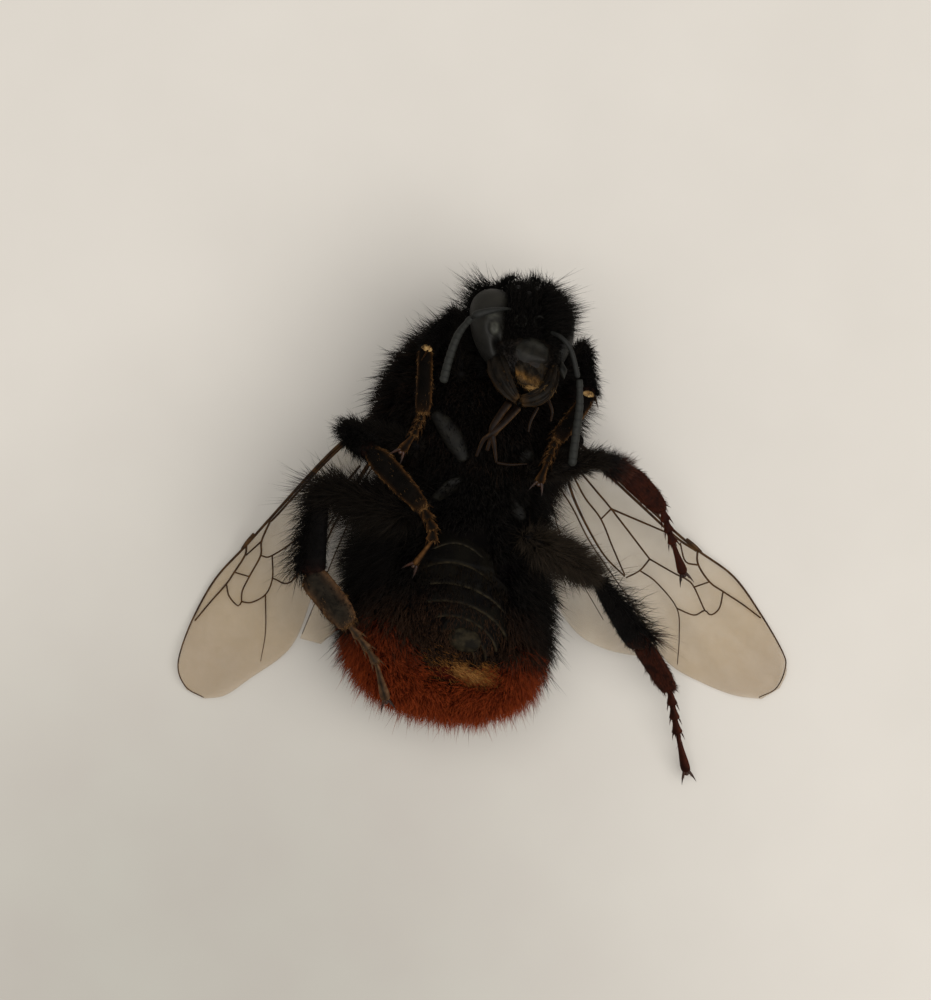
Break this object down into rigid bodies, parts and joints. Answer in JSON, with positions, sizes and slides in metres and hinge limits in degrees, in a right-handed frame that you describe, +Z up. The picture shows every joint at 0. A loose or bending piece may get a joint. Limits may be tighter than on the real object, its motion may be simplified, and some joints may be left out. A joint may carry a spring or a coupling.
{
  "type": "red-tailed bumblebee queen",
  "caption": "Life-size still model of a red-tailed bumblebee queen lying on its back with spread wings and legs folded over its belly.",
  "frame": {"origin": "on the floor, under the middle of the model's bounding box", "axes": "+X towards the animal's left side, +Y from tail to head, +Z up, the way its belly faces"},
  "size_m": [0.0262, 0.022, 0.0094],
  "materials": {
    "black_coat": "dense soft black hair over dark cuticle",
    "red_coat": "rust-red hair over dark cuticle",
    "black_shell": "satin black cuticle with a grey bloom",
    "brown_shell": "satin reddish-brown cuticle",
    "golden_plate": "golden down over the last plates",
    "eye": "matt dark grey, finely faceted",
    "wing": "clear brownish membrane with dark brown veins"
  },
  "bodies": {
    "root": {"thorax": "black_coat", "abdomen": "black_coat", "head": "black_coat", "tail": "red_coat", "tail_tip": "golden_plate", "eye_right": "eye", "mandible_right": "brown_shell", "antenna_right_scape": "black_shell", "antenna_right_flagellum": "black_shell", "forewing_right": "wing", "hindwing_right": "wing", "foreleg_right_femur": "black_coat", "foreleg_right_tibia": "black_coat", "foreleg_right_basitarsus": "brown_shell", "foreleg_right_tarsus": "brown_shell", "midleg_right_femur": "black_coat", "midleg_right_tibia": "black_coat", "midleg_right_basitarsus": "brown_shell", "midleg_right_tarsus": "brown_shell", "hindleg_right_femur": "black_coat", "hindleg_right_tibia": "black_coat", "hindleg_right_basitarsus": "brown_shell", "hindleg_right_tarsus": "brown_shell", "eye_left": "eye", "mandible_left": "brown_shell", "antenna_left_scape": "black_shell", "antenna_left_flagellum": "black_shell", "forewing_left": "wing", "hindwing_left": "wing", "foreleg_left_femur": "black_coat", "foreleg_left_tibia": "black_coat", "foreleg_left_basitarsus": "brown_shell", "foreleg_left_tarsus": "brown_shell", "midleg_left_femur": "black_coat", "midleg_left_tibia": "black_coat", "midleg_left_basitarsus": "brown_shell", "midleg_left_tarsus": "brown_shell", "hindleg_left_femur": "black_coat", "hindleg_left_tibia": "black_coat", "hindleg_left_basitarsus": "brown_shell", "hindleg_left_tarsus": "brown_shell", "proboscis": "brown_shell"}
  },
  "joints": []
}
